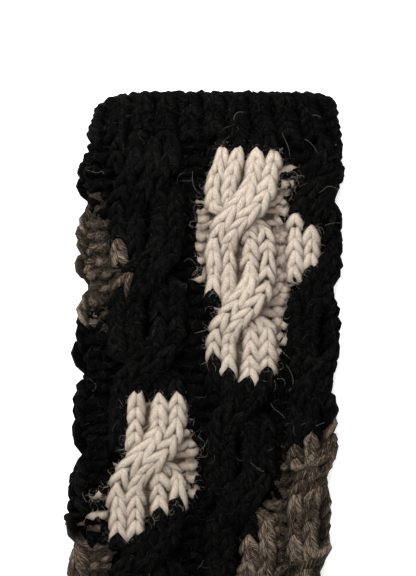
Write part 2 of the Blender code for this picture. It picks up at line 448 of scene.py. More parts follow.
# one row in knitting order: cable, strand (-1 in front, 1 behind, 0 between), column of the strand,
# knit 1 or purl -1, and place in the row
def rowLayout(rowDown, ribbed):
    if ribbed:
        order = np.arange(knitting["ribStitches"])
        nothing = np.zeros(len(order), int)
        return nothing, nothing, nothing, np.where(order % 2 == 0, 1, -1), order
    stitches = []
    for index in range(len(cables)):
        front, back, _, _ = crossingAt(index, rowDown, rowDown)
        for side in (-1, 1) if front < back else (1, -1):
            stitches += [(index, side, wale, 1) for wale in (-0.5, 0.5)]
        stitches += [(index, 0, wale, -1) for wale in (-0.5, 0.5)]
    cableIndex, side, wale, kind = map(np.array, zip(*stitches))
    return cableIndex, side, wale, kind, np.arange(len(stitches))


# the curve of each stitch about its own middle: across, down and out of the cloth
def loopCurve(t, side, wale, kind, width, pitch, uneven):
    settle = 1 - (t / math.pi) ** 2
    fullness = loop["fullness"] * (1 + loop["unevenLoop"] * uneven[0])
    reach = loop["reach"] * pitch * (1 + loop["unevenLoop"] * uneven[1])
    across = (t + fullness * np.sin(2 * t)) / (2 * math.pi) * width
    # the outer legs of a strand turn away into the gutter, so they reach out less
    outer = (wale * across > 0) & (side != 0) & (kind > 0)
    across = across * (1 - loop["edgeTuck"] * outer * (1 - np.cos(t) ** loop["tuckSharpness"]))
    across = across + settle * loop["unevenPlace"] * uneven[2]
    downwards = reach * np.cos(t) * (1 + loop["stretch"] * np.sin(t) ** 2)
    downwards = downwards + settle * loop["unevenPlace"] * uneven[3]
    tipPeak = 2.6  # brings the greatest value of cos x sin x sin to 1
    tip = tipPeak * np.cos(t) * np.sin(t) ** 2
    joint = np.abs(np.cos(t)) ** loop["jointSharpness"]
    knitRise = loop["depth"] * (1 - loop["jointDip"] * joint) - loop["tilt"] * tip
    return across, downwards, np.where(kind > 0, knitRise, loop["purlDepth"] * np.cos(2 * t))


# the yarn is fullest on the legs of a knit stitch and on the bumps of a purl stitch
def yarnThickness(t, side, kind, spacing, over, under, uneven):
    full = np.where(kind > 0, np.sin(t) ** 2, np.cos(t) ** 2)
    thick = loop["thin"] + (loop["thick"] - loop["thin"]) * full
    stretched = np.clip(spacing - 1, 0, 1)
    purlThick = loop["purlYarn"] * (1 + loop["purlFuller"] * stretched)
    thick = thick * (1 + loop["unevenYarn"] * uneven) * np.where(kind > 0, 1.0, purlThick)
    thinner = loop["backThinner"] * (side > 0) * under**2
    return thick * (1 + np.where(side < 0, loop["frontFuller"] * over**2, -thinner))


# 1 where the yarn lies deep between its neighbours, 0 where it lies in the open: the share of
# painted shade that darkens it
def sunkShadeShare(kind, height, down):
    sunkShade = 1 - np.clip((height - loft["sunkShade"]) / (loft["clear"] - loft["sunkShade"]), 0, 1)
    return sunkShade * (1 - loft["ribClear"] * bandShare(down) * (kind > 0))


# one row of stitches: for each, its points with their thickness, tone, sunk share for painted shade and
# way out, and its wool
def knitRow(rowDown, pitch, ribbed, random):
    steps = loop["pointsPerStitch"]
    layout = rowLayout(rowDown, ribbed)
    shape = (len(layout[0]), steps + 1)
    cableIndex, side, wale, kind, order = [np.broadcast_to(v[:, None], shape) for v in layout]
    nextCable = (cableIndex + 1) % len(cables)

    def spacingAt(down):
        _, _, over, under = crossingAt(cableIndex, down, rowDown)
        _, rightEdge = cableEdges(cableIndex, down, rowDown)
        nextLeftEdge, _ = cableEdges(nextCable, down, rowDown)
        gap = knitting["repeatStitches"] + nextLeftEdge - rightEdge
        return np.where(side != 0, columnSpacing(side, over, under), gap / 2), rightEdge

    # where each stitch's middle stands round the girth, or a place beside it by a nudge in stitches
    def place(down, nudge=0.0):
        front, back, _, _ = crossingAt(cableIndex, down, rowDown)
        spacing, rightEdge = spacingAt(down)
        middle = np.where(side < 0, front, np.where(side > 0, back, rightEdge + spacing))
        stitch = knitting["repeatStitches"] * cableIndex + middle + (wale + nudge) * spacing
        return columnPlace(order + nudge, stitch, down, ribbed)

    rows = np.full(shape, rowDown)
    probe = 0.0005
    slope = (place(rows + probe) - place(rows - probe)) / (2 * probe)
    lean = np.arctan(slope) * knitting["rowLean"] * np.where(side < 0, 1.0, knitting["backLean"])
    beside = 0.25
    width = (place(rows, beside) - place(rows, -beside)) / (2 * beside)
    share = bandShare(rows)
    if ribbed:
        width = width * np.where(kind > 0, knitting["ribKnitWidth"], knitting["ribPurlWidth"])
    shift = -np.where(side != 0, wale, 0.0) * width * np.sin(lean) * np.cos(lean) * (1 - share)

    t = np.broadcast_to(np.linspace(-math.pi, math.pi, steps + 1)[None], shape)
    uneven = random.normal(0, 1, (5, shape[0], 1))
    across, downwards, rise = loopCurve(t, side, wale, kind, width, pitch, uneven)
    down = rows + shift + downwards
    along = place(down) + across * np.cos(lean) ** 2
    down = down - across * np.cos(lean) * np.sin(lean)
    _, _, over, under = crossingAt(cableIndex, down, rowDown)
    offset = (wale + across / width) * knitting["strandGather"]
    height = yarnHeight(side, kind, offset, over, under, along, down) + rise
    height = np.maximum(height, loop["lowest"])
    thick = yarnThickness(t, side, kind, spacingAt(rows)[0], over, under, uneven[4])
    sunkShade = sunkShadeShare(kind, height, down)
    points = toFrame(along, down, height)
    outward = outwardAt(along, down, height)
    wool = woolAt(place(rows + shift)[:, 0], (rows + shift)[:, 0])
    joined = (points[:, 0] + np.roll(points[:, -1], 1, axis=0)) / 2
    points = np.concatenate([joined[:, None], points[:, 1:-1]], axis=1)
    tone = np.broadcast_to(random.uniform(-1, 1, (shape[0], 1)), (shape[0], steps))
    return points, thick[:, :-1], tone, sunkShade[:, :-1], outward[:, :-1], wool


# runs of one wool along a row: each is its wool, its stitches in order, and whether it closes
def woolRuns(wool):
    count = len(wool)
    starts = [i for i in range(count) if wool[i] != wool[i - 1]]
    if not starts:
        return [(wool[0], list(range(count)), True)]
    runs = []
    for start in starts:
        stitches = [start]
        while wool[(stitches[-1] + 1) % count] == wool[start]:
            stitches.append((stitches[-1] + 1) % count)
        runs.append((wool[start], stitches, False))
    return runs


class YarnLines:
    def __init__(self):
        self.points, self.edges, self.outward = [], [], []
        self.thick, self.tone, self.sunkShade = [], [], []

    def add(self, points, thick, tone, sunkShade, outward, closed):
        first = len(self.points)
        self.points += [tuple(point) for point in points]
        self.thick += list(thick)
        self.tone += list(tone)
        self.sunkShade += list(sunkShade)
        self.outward += [tuple(direction) for direction in outward]
        self.edges += [(i, i + 1) for i in range(first, len(self.points) - 1)]
        if closed:
            self.edges.append((len(self.points) - 1, first))

    def toObject(self, name):
        mesh = bpy.data.meshes.new(name)
        mesh.from_pydata(self.points, self.edges, [])
        for attributeName in ("thick", "tone", "sunkShade"):
            attribute = mesh.attributes.new(attributeName, "FLOAT", "POINT")
            attribute.data.foreach_set("value", getattr(self, attributeName))
        outward = mesh.attributes.new("outward", "FLOAT_VECTOR", "POINT")
        outward.data.foreach_set("vector", np.array(self.outward, float).ravel())
        return placeObject(name, mesh)


# which piece a stitch belongs to: the black is split by rows, the patches of one wool are one piece
def pieceOf(woolIndex, band, row):
    if woolNames[woolIndex] == "black":
        if band != "body":
            return band
        third = row * 3 // knitting["bodyRows"]
        return ("black_upper_cables", "black_middle_cables", "black_lower_cables")[third]
    return woolNames[woolIndex] + "_patches"


# for the first points of an end, outermost first
tuck = {
    "shares": (1.0, 0.5, 0.1),
    "dip": 0.0012,
    "thinner": 0.36,
}


# where one wool gives way to another its ends thin out and turn down into the cloth
def tuckEnds(points, thick, outward):
    for place, share in enumerate(tuck["shares"]):
        for index in (place, -1 - place):
            points[index] -= outward[index] * tuck["dip"] * share
            thick[index] *= 1 - tuck["thinner"] * share


def knitTube():
    lines = {}
    upperEnd = garment["upperBand"]
    handStart = garment["length"] - garment["handBand"]
    margin = knitting["edgeMargin"]
    bands = (
        ("upper_rib", margin, upperEnd, knitting["upperBandRows"]),
        ("body", upperEnd, handStart, knitting["bodyRows"]),
        ("hand_rib", handStart, garment["length"] - margin, knitting["handBandRows"]),
    )
    for band, start, end, count in bands:
        pitch = (end - start) / count
        random = np.random.default_rng(count)
        for row in range(count):
            rowDown = start + (row + 0.5) * pitch
            *rowValues, wool = knitRow(rowDown, pitch, band != "body", random)
            for woolIndex, stitches, closed in woolRuns(wool):
                name = pieceOf(woolIndex, band, row)
                after = (stitches[-1] + 1) % len(wool)
                runs = []
                for values in rowValues:
                    run = values[stitches].reshape(-1, *values.shape[2:])
                    if not closed:
                        run = np.concatenate([run, values[after, :1]])
                    runs.append(run)
                if not closed:
                    points, thick, _, _, outward = runs
                    tuckEnds(points, thick, outward)
                lines.setdefault(name, YarnLines()).add(*runs, closed)
    return lines


edge = {
    "pointsPerStitch": 12,
    "inset": 0.0042,
    "windDown": 0.0024,
    "windHeight": 0.0014,
    "slant": 0.12,
    "yarn": 1.2,
    "seed": 11,
}


# the cast-on and cast-off edges: yarn wound once round the edge at every stitch
def windEdge(lines, edgeDown, direction, random):
    stitches = knitting["ribStitches"]
    turns = np.linspace(0, stitches, stitches * edge["pointsPerStitch"], endpoint=False)
    angle = 2 * math.pi * turns
    down = edgeDown + direction * (edge["inset"] - edge["windDown"] * np.cos(angle))
    order = turns + edge["slant"] * np.sin(angle)
    along = columnPlace(order, order, np.full(len(turns), edgeDown), True)
    uneven = np.repeat(random.normal(0, 1, stitches), edge["pointsPerStitch"])
    height = loft["edge"] + edge["windHeight"] * np.sin(angle)
    points = toFrame(along, down, height)
    thick = edge["yarn"] * (1 + loop["unevenYarn"] * uneven)
    tone = np.repeat(random.uniform(-1, 1, stitches), edge["pointsPerStitch"])
    lines.add(points, thick, tone, np.zeros(len(turns)), outwardAt(along, down, height), True)


# the cloth behind the stitches, a closed wall with its slit: it keeps light from passing between
# the loops, and its colours are painted shade for the gaps between them
backing = {
    "columnsPerStitch": 3,
    "rows": 76,
    "innerRows": 8,
    "below": 0.0012,
    "least": 0.0003,
    "lowest": 0.0003,
    "foldRise": 0.0009,
    "foldReach": 0.006,
    "patchMargin": 0.0035,
    "inset": 0.0034,
    "ribHeight": 0.0012,
}


# painted shade: each wool's backing colour is the darkened tone of the shaded gaps between its loops
backingShadeColours = {
    "black": (0.0006, 0.0006, 0.0005, 1.0),
    "cream": (0.120, 0.086, 0.060, 1.0),
    "taupe": (0.02, 0.015, 0.011, 1.0),
}


def backingHeight(stitch, along, down):
    repeat = knitting["repeatStitches"]
    cableIndex = (np.floor(stitch / repeat + 0.5) % len(cables)).astype(int)
    offset = stitch - repeat * np.floor(stitch / repeat + 0.5)
    front, back, over, under = crossingAt(cableIndex, down, down)
    gather = knitting["strandGather"]
    frontOffset = (offset - front) * gather / columnSpacing(-1, over, under)
    backOffset = (offset - back) * gather / columnSpacing(1, over, under)
    upper = strandHeight(-1, frontOffset, over, under)
    lower = strandHeight(1, backOffset, over, under)
    tube = FlatTube(down)
    nearFold = np.exp(-tube.distanceFromFold(along) / backing["foldReach"])
    below = backing["below"] - backing["foldRise"] * nearFold
    body = calmAtFold(np.maximum(upper, lower), along, down) - notchAt(along, down)
    body = np.maximum(body * tube.wall / garment["bodyWall"] - below, backing["least"])
    share = bandShare(down)
    return share * backing["ribHeight"] + (1 - share) * body


# rings of points round the cloth, down its outer face and back up inside, and each point's wool
def backingRings():
    start = backing["inset"]
    end = garment["length"] - backing["inset"]
    columns = knitting["stitchesRound"] * backing["columnsPerStitch"]
    order = np.arange(columns) / backing["columnsPerStitch"]
    stitch = order - (knitting["halfCable"] - 0.5)  # the first column is the first cable's left one
    margin = backing["patchMargin"]
    beside = ((0, 0), (-1, 0), (1, 0), (0, -1), (0, 1))
    rings, wool = [], []
    for down in np.linspace(start, end, backing["rows"]):
        downs = np.full(columns, down)
        along = columnPlace(order, stitch, downs, False)
        ring = toFrame(along, downs, backingHeight(stitch, along, downs))
        ring[:, 2] = np.maximum(ring[:, 2], backing["lowest"])
        rings.append(ring)
        near = [woolAt(along + a * margin, downs + d * margin) for a, d in beside]
        wool.append(np.where(np.ptp(near, axis=0) == 0, near[0], 0))
    for down in np.linspace(end, start, backing["innerRows"]):
        downs = np.full(columns, down)
        along = columnPlace(order, stitch, downs, False)
        rings.append(toFrame(along, downs, np.zeros(columns)))
        wool.append(np.zeros(columns, int))
    return rings, np.concatenate(wool)


def makeBacking(name):
    rings, wool = backingRings()
    mesh = bmesh.new()
    loops = [[mesh.verts.new(point) for point in ring] for ring in rings]
    for ring, following in zip(loops, loops[1:] + loops[:1]):
        for index, point in enumerate(ring):
            after = (index + 1) % len(ring)
            mesh.faces.new((point, ring[after], following[after], following[index]))
    bmesh.ops.recalc_face_normals(mesh, faces=mesh.faces)
    data = bpy.data.meshes.new(name)
    mesh.to_mesh(data)
    mesh.free()
    data.shade_smooth()
    colour = data.attributes.new("patch", "FLOAT_COLOR", "POINT")
    table = np.array([backingShadeColours[woolName] for woolName in woolNames])
    colour.data.foreach_set("color", table[wool].ravel())
    return placeObject(name, data)


# a node tree with named inputs and outputs, each as its label, kind and value
def newTree(kind, name, inputs, outputs):
    tree = bpy.data.node_groups.new(name, kind)
    for direction, sockets in (("INPUT", inputs), ("OUTPUT", outputs)):
        for label, socketKind, value in sockets:
            socket = tree.interface.new_socket(label, in_out=direction,
                                               socket_type="NodeSocket" + socketKind)
            if value is not None:
                socket.default_value = value
    return tree


def connect(tree, value, socket):
    if isinstance(value, bpy.types.NodeSocket):
        tree.links.new(value, socket)
    else:
        socket.default_value = value


def setInputs(tree, node, values):
    for name, value in values.items():
        connect(tree, value, node.inputs[name.replace("_", " ")])


def addNode(tree, kind, settings=None, **values):
    node = tree.nodes.new(kind)
    for name, value in (settings or {}).items():
        setattr(node, name, value)
    setInputs(tree, node, values)
    return node


def maths(tree, operation, first, second):
    node = addNode(tree, "ShaderNodeMath", {"operation": operation})
    connect(tree, first, node.inputs[0])
    connect(tree, second, node.inputs[1])
    return node.outputs[0]


def readAttribute(tree, name, kind="FLOAT"):
    node = addNode(tree, "GeometryNodeInputNamedAttribute", {"data_type": kind}, Name=name)
    return node.outputs["Attribute"]


def storeAttribute(tree, geometry, name, value, kind="FLOAT"):
    node = addNode(tree, "GeometryNodeStoreNamedAttribute", {"data_type": kind, "domain": "POINT"},
                   Geometry=geometry, Name=name, Value=value)
    return node.outputs["Geometry"]


# raises whatever lies below a height, and shades the whole smooth
def keepAbove(tree, geometry, lowest):
    place = tree.nodes.new("GeometryNodeInputPosition").outputs["Position"]
    parts = addNode(tree, "ShaderNodeSeparateXYZ", Vector=place).outputs
    height = maths(tree, "MAXIMUM", parts["Z"], lowest)
    raised = addNode(tree, "ShaderNodeCombineXYZ", X=parts["X"], Y=parts["Y"], Z=height)
    kept = addNode(tree, "GeometryNodeSetPosition", Geometry=geometry, Position=raised.outputs["Vector"])
    smooth = addNode(tree, "GeometryNodeSetShadeSmooth", Geometry=kept.outputs["Geometry"],
                     Shade_Smooth=True)
    return smooth.outputs["Geometry"]


def endTree(tree, geometry, material):
    covered = addNode(tree, "GeometryNodeSetMaterial", Geometry=geometry, Material=material)
    addNode(tree, "NodeGroupOutput", Geometry=covered.outputs["Geometry"])


yarn = {
    "radius": 0.00180,
    "sides": 8,
    "lumpScale": 420.0,
    "lumpDepth": 0.00035,
    "lumpDetail": 1.0,
    "floor": 0.0001,
}


# lines of yarn become round yarn with a soft lumpy surface, pressed flat where it meets the table
def makeYarnTree():
    tree = newTree("GeometryNodeTree", "yarnFromLines", (
        ("Geometry", "Geometry", None),
        ("Yarn Radius", "Float", yarn["radius"]),
        ("Sides", "Int", yarn["sides"]),
        ("Lump Scale", "Float", yarn["lumpScale"]),
        ("Lump Depth", "Float", yarn["lumpDepth"]),
        ("Lowest", "Float", yarn["floor"]),
        ("Material", "Material", None),
    ), (("Geometry", "Geometry", None),))
    given = tree.nodes.new("NodeGroupInput").outputs
    curve = addNode(tree, "GeometryNodeMeshToCurve", Mesh=given["Geometry"])
    length = tree.nodes.new("GeometryNodeSplineParameter").outputs["Length"]
    measured = storeAttribute(tree, curve.outputs["Curve"], "run", length)
    circle = addNode(tree, "GeometryNodeCurvePrimitiveCircle", Resolution=given["Sides"], Radius=1.0)
    place = tree.nodes.new("GeometryNodeInputPosition").outputs["Position"]
    ring = storeAttribute(tree, circle.outputs["Curve"], "around", place, "FLOAT_VECTOR")
    scale = maths(tree, "MULTIPLY", readAttribute(tree, "thick"), given["Yarn Radius"])
    tube = addNode(tree, "GeometryNodeCurveToMesh", Curve=measured, Profile_Curve=ring, Scale=scale,
                   Fill_Caps=True)
    noise = addNode(tree, "ShaderNodeTexNoise", {"noise_dimensions": "3D"}, Scale=given["Lump Scale"],
                    Detail=yarn["lumpDetail"])
    centred = maths(tree, "SUBTRACT", noise.outputs["Fac"], 0.5)
    lump = maths(tree, "MULTIPLY", centred, given["Lump Depth"])
    normal = tree.nodes.new("GeometryNodeInputNormal").outputs["Normal"]
    push = addNode(tree, "ShaderNodeVectorMath", {"operation": "SCALE"}, Vector=normal, Scale=lump)
    lumpy = addNode(tree, "GeometryNodeSetPosition", Geometry=tube.outputs["Mesh"],
                    Offset=push.outputs["Vector"])
    pressed = keepAbove(tree, lumpy.outputs["Geometry"], given["Lowest"])
    # how far the yarn faces out of the cloth, which sets its painted crease shade and where fibres grow
    facing = addNode(tree, "ShaderNodeVectorMath", {"operation": "DOT_PRODUCT"})
    connect(tree, normal, facing.inputs[0])
    connect(tree, readAttribute(tree, "outward", "FLOAT_VECTOR"), facing.inputs[1])
    marked = storeAttribute(tree, pressed, "facing", facing.outputs["Value"])
    real = addNode(tree, "GeometryNodeRealizeInstances", Geometry=marked)
    endTree(tree, real.outputs["Geometry"], given["Material"])
    return tree


# fibres on each wool: they grow where the yarn faces outwards, fewer of them on the underside.
# Bend and tip are in shares of a fibre's length, turn is the most that it leans or spins
fuzz = {
    "black": {
        "total": 29000, "length": 0.0046,
        "colour": (0.010, 0.0095, 0.009, 1), "tint": (0.060, 0.055, 0.049, 1),
    },
    "cream": {
        "total": 21000, "length": 0.0034,
        "colour": (0.20, 0.155, 0.115, 1), "tint": (0.60, 0.53, 0.45, 1),
    },
    "taupe": {
        "total": 12000, "length": 0.0038,
        "colour": (0.03, 0.023, 0.017, 1), "tint": (0.27, 0.21, 0.157, 1),
    },
    "radius": 0.000040,
    "sides": 3,
    "steps": 3,
    "fullFacing": 0.3,
    "underside": (-0.5, -0.1),
    "undersideShare": 0.3,
    "bend": (0.55, 0.0, 0.75),
    "tip": (1.0, 0.35, 0.35),
    "tipWidth": 0.25,
    "turn": (0.7, 0.7, 3.14),
    "smallest": (0.35, 0.35, 0.10),
    "largest": (1.25, 1.25, 1.00),
    "roughness": 0.8,
    "gloss": 0.2,
    "tintScale": 300.0,
    "firstSeed": 5,
}


# one curved fibre, turned and scaled at every point
def makeFibreTree():
    tree = newTree("GeometryNodeTree", "looseFibres", (
        ("Geometry", "Geometry", None),
        ("Density", "Float", None),
        ("Fibre Length", "Float", None),
        ("Fibre Radius", "Float", fuzz["radius"]),
        ("Underside Share", "Float", fuzz["undersideShare"]),
        ("Seed", "Int", None),
        ("Lowest", "Float", yarn["floor"]),
        ("Material", "Material", None),
    ), (("Geometry", "Geometry", None),))
    given = tree.nodes.new("NodeGroupInput").outputs
    onTop = addNode(tree, "ShaderNodeMapRange", Value=readAttribute(tree, "facing"), From_Min=0.0,
                    From_Max=fuzz["fullFacing"])
    normal = tree.nodes.new("GeometryNodeInputNormal").outputs["Normal"]
    slope = addNode(tree, "ShaderNodeSeparateXYZ", Vector=normal)
    steepest, level = fuzz["underside"]
    upper = addNode(tree, "ShaderNodeMapRange", Value=slope.outputs["Z"], From_Min=steepest,
                    From_Max=level, To_Min=given["Underside Share"])
    share = maths(tree, "MULTIPLY", onTop.outputs["Result"], upper.outputs["Result"])
    points = addNode(tree, "GeometryNodeDistributePointsOnFaces", {"distribute_method": "RANDOM"},
                     Mesh=given["Geometry"], Density=maths(tree, "MULTIPLY", share, given["Density"]),
                     Seed=given["Seed"])

    def scaled(vector):
        node = addNode(tree, "ShaderNodeVectorMath", {"operation": "SCALE"}, Vector=vector,
                       Scale=given["Fibre Length"])
        return node.outputs["Vector"]

    def randomVector(low, high):
        node = addNode(tree, "FunctionNodeRandomValue", {"data_type": "FLOAT_VECTOR"}, Min=low, Max=high,
                       Seed=given["Seed"])
        return node.outputs[0]

    line = addNode(tree, "GeometryNodeCurveQuadraticBezier", Resolution=fuzz["steps"],
                   Start=(0.0, 0.0, 0.0), Middle=scaled(fuzz["bend"]), End=scaled(fuzz["tip"]))
    factor = tree.nodes.new("GeometryNodeSplineParameter").outputs["Factor"]
    taper = addNode(tree, "ShaderNodeMapRange", Value=factor, To_Min=1.0, To_Max=fuzz["tipWidth"])
    circle = addNode(tree, "GeometryNodeCurvePrimitiveCircle", Resolution=fuzz["sides"],
                     Radius=given["Fibre Radius"])
    fibre = addNode(tree, "GeometryNodeCurveToMesh", Curve=line.outputs["Curve"],
                    Profile_Curve=circle.outputs["Curve"], Scale=taper.outputs["Result"], Fill_Caps=True)
    spin = randomVector(tuple(-most for most in fuzz["turn"]), fuzz["turn"])
    turn = addNode(tree, "FunctionNodeEulerToRotation", Euler=spin)
    turned = addNode(tree, "FunctionNodeRotateRotation", {"rotation_space": "LOCAL"},
                     Rotation=points.outputs["Rotation"], Rotate_By=turn.outputs["Rotation"])
    sown = addNode(tree, "GeometryNodeInstanceOnPoints", Points=points.outputs["Points"],
                   Instance=fibre.outputs["Mesh"], Rotation=turned.outputs["Rotation"],
                   Scale=randomVector(fuzz["smallest"], fuzz["largest"]))
    real = addNode(tree, "GeometryNodeRealizeInstances", Geometry=sown.outputs["Instances"])
    kept = keepAbove(tree, real.outputs["Geometry"], given["Lowest"])
    endTree(tree, kept, given["Material"])
    return tree


def applyTree(piece, tree, **values):
    modifier = piece.modifiers.new(tree.name, "NODES")
    modifier.node_group = tree
    for item in tree.interface.items_tree:
        label = item.name.replace(" ", "")
        if item.in_out == "INPUT" and label in values:
            modifier[item.identifier] = values[label]
    bpy.context.view_layer.update()
    graph = bpy.context.evaluated_depsgraph_get()
    mesh = bpy.data.meshes.new_from_object(piece.evaluated_get(graph))
    piece.modifiers.remove(modifier)
    old = piece.data
    piece.data = mesh
    bpy.data.meshes.remove(old)
    mesh.name = piece.name
    return piece


def mixColours(tree, share, first, second):
    node = addNode(tree, "ShaderNodeMix", {"data_type": "RGBA"})
    for place, value in ((0, share), (6, first), (7, second)):  # the colour sockets, found by number
        connect(tree, value, node.inputs[place])
    return node.outputs[2]


# each noise has its detail and roughness; the ranges are where one look gives way to the next
spinning = {
    "twist": 420.0,
    "fibreScale": 9.0,
    "speckleScale": 1500.0,
    # strength of the painted shade in creases
    "crease": 0.85,
    "toneShift": 37.0,
    "streaks": (3.0, 0.6),
    "fibres": (2.0, 0.7),
    "specks": (3.0, 0.7),
    "fibreShare": 0.35,
    "deepToMain": (0.36, 0.50),
    "mainToLight": (0.51, 0.64),
    "darkSpecks": (0.36, 0.60),
    # where yarn turning into a crease goes from full painted shade to none
    "hollowToOpen": (0.25, 0.9),
    "fibreRelief": 0.6,
    "streakRelief": 0.4,
    "speckRelief": 0.5,
}


# spun wool: fibres that run along the yarn and turn slowly round it, as streaks of three colours
def makeSpunWool():
    group = newTree("ShaderNodeTree", "spunWool", (
        ("Deep Colour", "Color", None),
        ("Main Colour", "Color", None),
        ("Light Colour", "Color", None),
        ("Twist", "Float", spinning["twist"]),
        ("Streak Width", "Float", None),
        ("Streak Length", "Float", None),
        ("Stitch Contrast", "Float", None),
        ("Fibre Scale", "Float", spinning["fibreScale"]),
        ("Speckle Scale", "Float", spinning["speckleScale"]),
        ("Speckle", "Float", None),
        # colour and strengths of the painted shade in creases and in sunk yarn
        ("Crease Colour", "Color", None),
        ("Crease", "Float", spinning["crease"]),
        ("Sunk", "Float", None),
    ), (("Colour", "Color", None), ("Height", "Float", None)))
    given = group.nodes.new("NodeGroupInput").outputs

    def attribute(name, output="Fac"):
        return addNode(group, "ShaderNodeAttribute", {"attribute_name": name}).outputs[output]

    def noise(place, scale, detail, roughness):
        node = addNode(group, "ShaderNodeTexNoise", {"noise_dimensions": "3D"}, Vector=place,
                       Scale=scale, Detail=detail, Roughness=roughness)
        return node.outputs["Fac"]

    def ramp(value, ends, kind="SMOOTHSTEP"):
        node = addNode(group, "ShaderNodeMapRange", {"clamp": True, "interpolation_type": kind},
                       Value=value, From_Min=ends[0], From_Max=ends[1])
        return node.outputs["Result"]

    def times(first, second):
        return maths(group, "MULTIPLY", first, second)

    def plus(first, second):
        return maths(group, "ADD", first, second)

    def without(value):
        return maths(group, "SUBTRACT", 1.0, value)

    run, tone = attribute("run"), attribute("tone")
    wound = addNode(group, "ShaderNodeVectorRotate", {"rotation_type": "Z_AXIS"},
                    Vector=attribute("around", "Vector"), Angle=times(run, given["Twist"]))
    parts = addNode(group, "ShaderNodeSeparateXYZ", Vector=wound.outputs["Vector"]).outputs
    lengthwise = plus(times(run, given["Streak Length"]), times(tone, spinning["toneShift"]))
    place = addNode(group, "ShaderNodeCombineXYZ", X=parts["X"], Y=parts["Y"], Z=lengthwise)
    streaks = noise(place.outputs["Vector"], given["Streak Width"], *spinning["streaks"])
    fibres = noise(place.outputs["Vector"], given["Fibre Scale"], *spinning["fibres"])
    fine = times(maths(group, "SUBTRACT", fibres, 0.5), spinning["fibreShare"])
    level = plus(plus(times(tone, given["Stitch Contrast"]), streaks), fine)
    lower = ramp(level, spinning["deepToMain"])
    upper = ramp(level, spinning["mainToLight"])
    colour = mixColours(group, lower, given["Deep Colour"], given["Main Colour"])
    colour = mixColours(group, upper, colour, given["Light Colour"])
    coords = group.nodes.new("ShaderNodeTexCoord").outputs["Object"]
    specks = noise(coords, given["Speckle Scale"], *spinning["specks"])
    dark = without(ramp(specks, spinning["darkSpecks"], "LINEAR"))
    speckled = addNode(group, "ShaderNodeVectorMath", {"operation": "SCALE"}, Vector=colour,
                       Scale=without(times(dark, given["Speckle"])))
    # painted shade: yarn that faces into a crease or lies sunk among its neighbours is mixed to the
    # crease colour
    hollowShade = without(ramp(attribute("facing"), spinning["hollowToOpen"]))
    clear = without(times(attribute("sunkShade"), given["Sunk"]))
    covered = without(times(clear, without(times(hollowShade, given["Crease"]))))
    creaseShaded = mixColours(group, covered, speckled.outputs["Vector"], given["Crease Colour"])
    height = plus(times(fibres, spinning["fibreRelief"]), times(streaks, spinning["streakRelief"]))
    height = plus(height, times(specks, spinning["speckRelief"]))
    addNode(group, "NodeGroupOutput", Colour=creaseShaded, Height=height)
    return group


# the three colours of each wool, its painted shade in creases and hollows, how it shines and is streaked
woolFinishes = {
    "black": {
        "crease": (0.0004, 0.0004, 0.0004, 1), "sunkShade": 0.85,
        "deep": (0.0007, 0.0007, 0.0007, 1), "main": (0.0015, 0.0015, 0.0014, 1),
        "light": (0.0055, 0.0054, 0.0051, 1),
        "contrast": 0.05, "bump": 0.55, "gloss": 0.02, "sheen": 0.006, "sheenTint": (0.5, 0.49, 0.47, 1),
        "streak": 3.0, "length": 100.0, "speckle": 0.3,
    },
    "cream": {
        "crease": (0.115, 0.080, 0.054, 1), "sunkShade": 0.64,
        "deep": (0.37, 0.300, 0.233, 1), "main": (0.462, 0.389, 0.318, 1),
        "light": (0.465, 0.398, 0.332, 1),
        "contrast": 0.05, "bump": 0.75, "gloss": 0.10, "sheen": 0.12, "sheenTint": (1.0, 0.94, 0.86, 1),
        "streak": 3.0, "length": 100.0, "speckle": 0.28,
    },
    "taupe": {
        "crease": (0.0036, 0.0025, 0.0018, 1), "sunkShade": 0.6,
        "deep": (0.0070, 0.0050, 0.0036, 1), "main": (0.038, 0.0270, 0.0188, 1),
        "light": (0.205, 0.155, 0.112, 1),
        "contrast": 0.09, "bump": 0.85, "gloss": 0.05, "sheen": 0.04, "sheenTint": (0.9, 0.78, 0.64, 1),
        "streak": 4.2, "length": 60.0, "speckle": 0.3,
    },
    "roughness": 0.95,
    "sheenRoughness": 0.5,
    "bumpDistance": 0.0008,
}


def newMaterial(name, **values):
    material = bpy.data.materials.new(name)
    material.use_nodes = True
    tree = material.node_tree
    shader = tree.nodes["Principled BSDF"]
    setInputs(tree, shader, values)
    return material, tree, shader


def makeWool(name, finish, group):
    material, tree, shader = newMaterial(
        name, Base_Color=finish["main"], Roughness=woolFinishes["roughness"],
        Specular_IOR_Level=finish["gloss"], Sheen_Weight=finish["sheen"],
        Sheen_Roughness=woolFinishes["sheenRoughness"], Sheen_Tint=finish["sheenTint"])
    wool = addNode(tree, "ShaderNodeGroup", {"node_tree": group}, Deep_Colour=finish["deep"],
                   Main_Colour=finish["main"], Light_Colour=finish["light"],
                   Crease_Colour=finish["crease"], Stitch_Contrast=finish["contrast"],
                   Streak_Width=finish["streak"], Streak_Length=finish["length"],
                   Speckle=finish["speckle"], Sunk=finish["sunkShade"])
    bump = addNode(tree, "ShaderNodeBump", Strength=finish["bump"],
                   Distance=woolFinishes["bumpDistance"], Height=wool.outputs["Height"])
    setInputs(tree, shader, {"Base Color": wool.outputs["Colour"], "Normal": bump.outputs["Normal"]})
    material.diffuse_color = finish["main"]
    return material


# the backing's material shows only the painted shade colour that each of its points holds
def makeBackingShade(name):
    material, tree, shader = newMaterial(name, Base_Color=backingShadeColours["black"], Roughness=1.0,
                                         Specular_IOR_Level=0.0)
    patch = addNode(tree, "ShaderNodeAttribute", {"attribute_name": "patch"})
    setInputs(tree, shader, {"Base Color": patch.outputs["Color"]})
    return material


# knitting the garment
yarnTree = makeYarnTree()
spunWool = makeSpunWool()
wools = {name: makeWool(name + "_wool", woolFinishes[name], spunWool) for name in woolNames}

